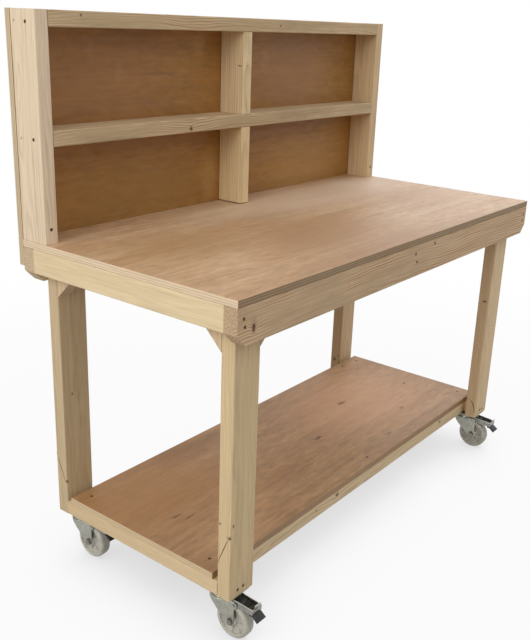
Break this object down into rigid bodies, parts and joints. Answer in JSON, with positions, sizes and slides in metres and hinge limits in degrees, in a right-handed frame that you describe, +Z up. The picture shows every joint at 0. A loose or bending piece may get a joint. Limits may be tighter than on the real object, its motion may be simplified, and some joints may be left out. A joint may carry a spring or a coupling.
{
  "type": "mobile workbench",
  "caption": "Timber workbench on braked swivel castors, with a plywood worktop, a lower shelf and a raised back panel divided into open bays.",
  "frame": {"origin": "on the floor, below the middle of the whole bench", "axes": "+X to the right along the bench's length, +Y from the user's side to the back panel, +Z up"},
  "size_m": [1.5, 0.7474, 1.442],
  "materials": {
    "pine": "planed softwood, unfinished",
    "plywood": "hardwood-faced plywood, unfinished",
    "zinc_steel": "zinc-plated pressed steel",
    "nylon": "natural white nylon",
    "black_plastic": "moulded black nylon"
  },
  "bodies": {
    "root": {"worktop_ply": "plywood", "front_long_rail": "pine", "rear_long_rail": "pine", "left_end_rail": "pine", "right_end_rail": "pine", "top_cross_bearer": "pine", "front_left_leg": "pine", "front_left_end_brace": "pine", "front_left_rail_brace": "pine", "front_right_leg": "pine", "front_right_end_brace": "pine", "front_right_rail_brace": "pine", "rear_left_leg": "pine", "rear_left_end_brace": "pine", "rear_left_rail_brace": "pine", "rear_right_leg": "pine", "rear_right_end_brace": "pine", "rear_right_rail_brace": "pine", "shelf_left_end_rail": "pine", "shelf_right_end_rail": "pine", "shelf_front_rail": "pine", "shelf_rear_rail": "pine", "shelf_cross_bearer": "pine", "shelf_ply": "plywood", "left_upright": "pine", "right_upright": "pine", "back_top_rail": "pine", "back_mid_shelf": "pine", "back_lower_divider": "pine", "back_upper_divider": "pine", "back_panel_ply": "plywood", "front_left_castor_plate": "zinc_steel", "front_left_castor_kingpin": "zinc_steel", "front_right_castor_plate": "zinc_steel", "front_right_castor_kingpin": "zinc_steel", "rear_left_castor_plate": "zinc_steel", "rear_left_castor_kingpin": "zinc_steel", "rear_right_castor_plate": "zinc_steel", "rear_right_castor_kingpin": "zinc_steel"},
    "front_left_fork": {"front_left_castor_fork": "zinc_steel", "front_left_castor_axle": "zinc_steel"},
    "front_left_wheel": {"front_left_castor_wheel": "nylon"},
    "front_left_brake": {"front_left_castor_brake_lever": "zinc_steel", "front_left_castor_brake_pedal": "black_plastic"},
    "front_right_fork": {"front_right_castor_fork": "zinc_steel", "front_right_castor_axle": "zinc_steel"},
    "front_right_wheel": {"front_right_castor_wheel": "nylon"},
    "front_right_brake": {"front_right_castor_brake_lever": "zinc_steel", "front_right_castor_brake_pedal": "black_plastic"},
    "rear_left_fork": {"rear_left_castor_fork": "zinc_steel", "rear_left_castor_axle": "zinc_steel"},
    "rear_left_wheel": {"rear_left_castor_wheel": "nylon"},
    "rear_left_brake": {"rear_left_castor_brake_lever": "zinc_steel", "rear_left_castor_brake_pedal": "black_plastic"},
    "rear_right_fork": {"rear_right_castor_fork": "zinc_steel", "rear_right_castor_axle": "zinc_steel"},
    "rear_right_wheel": {"rear_right_castor_wheel": "nylon"},
    "rear_right_brake": {"rear_right_castor_brake_lever": "zinc_steel", "rear_right_castor_brake_pedal": "black_plastic"}
  },
  "joints": [
    {"name": "front_left_swivel", "type": "hinge", "parent": "root", "child": "front_left_fork", "pos_m": [-0.6672, -0.25265, 0.12], "axis": [0, 0, 1], "continuous": true},
    {"name": "front_left_wheel_spin", "type": "hinge", "parent": "front_left_fork", "child": "front_left_wheel", "pos_m": [-0.6672, -0.29065, 0.05], "axis": [1, 0, 0], "continuous": true},
    {"name": "front_left_brake_press", "type": "hinge", "parent": "front_left_fork", "child": "front_left_brake", "pos_m": [-0.6672, -0.30365, 0.1035], "axis": [1, 0, 0], "range_deg": [0, 12]},
    {"name": "front_right_swivel", "type": "hinge", "parent": "root", "child": "front_right_fork", "pos_m": [0.6672, -0.25265, 0.12], "axis": [0, 0, 1], "continuous": true},
    {"name": "front_right_wheel_spin", "type": "hinge", "parent": "front_right_fork", "child": "front_right_wheel", "pos_m": [0.6672, -0.29065, 0.05], "axis": [1, 0, 0], "continuous": true},
    {"name": "front_right_brake_press", "type": "hinge", "parent": "front_right_fork", "child": "front_right_brake", "pos_m": [0.6672, -0.30365, 0.1035], "axis": [1, 0, 0], "range_deg": [0, 12]},
    {"name": "rear_left_swivel", "type": "hinge", "parent": "root", "child": "rear_left_fork", "pos_m": [-0.6672, 0.26335, 0.12], "axis": [0, 0, 1], "continuous": true},
    {"name": "rear_left_wheel_spin", "type": "hinge", "parent": "rear_left_fork", "child": "rear_left_wheel", "pos_m": [-0.6672, 0.22535, 0.05], "axis": [1, 0, 0], "continuous": true},
    {"name": "rear_left_brake_press", "type": "hinge", "parent": "rear_left_fork", "child": "rear_left_brake", "pos_m": [-0.6672, 0.21235, 0.1035], "axis": [1, 0, 0], "range_deg": [0, 12]},
    {"name": "rear_right_swivel", "type": "hinge", "parent": "root", "child": "rear_right_fork", "pos_m": [0.6672, 0.26335, 0.12], "axis": [0, 0, 1], "continuous": true},
    {"name": "rear_right_wheel_spin", "type": "hinge", "parent": "rear_right_fork", "child": "rear_right_wheel", "pos_m": [0.6672, 0.22535, 0.05], "axis": [1, 0, 0], "continuous": true},
    {"name": "rear_right_brake_press", "type": "hinge", "parent": "rear_right_fork", "child": "rear_right_brake", "pos_m": [0.6672, 0.21235, 0.1035], "axis": [1, 0, 0], "range_deg": [0, 12]}
  ]
}
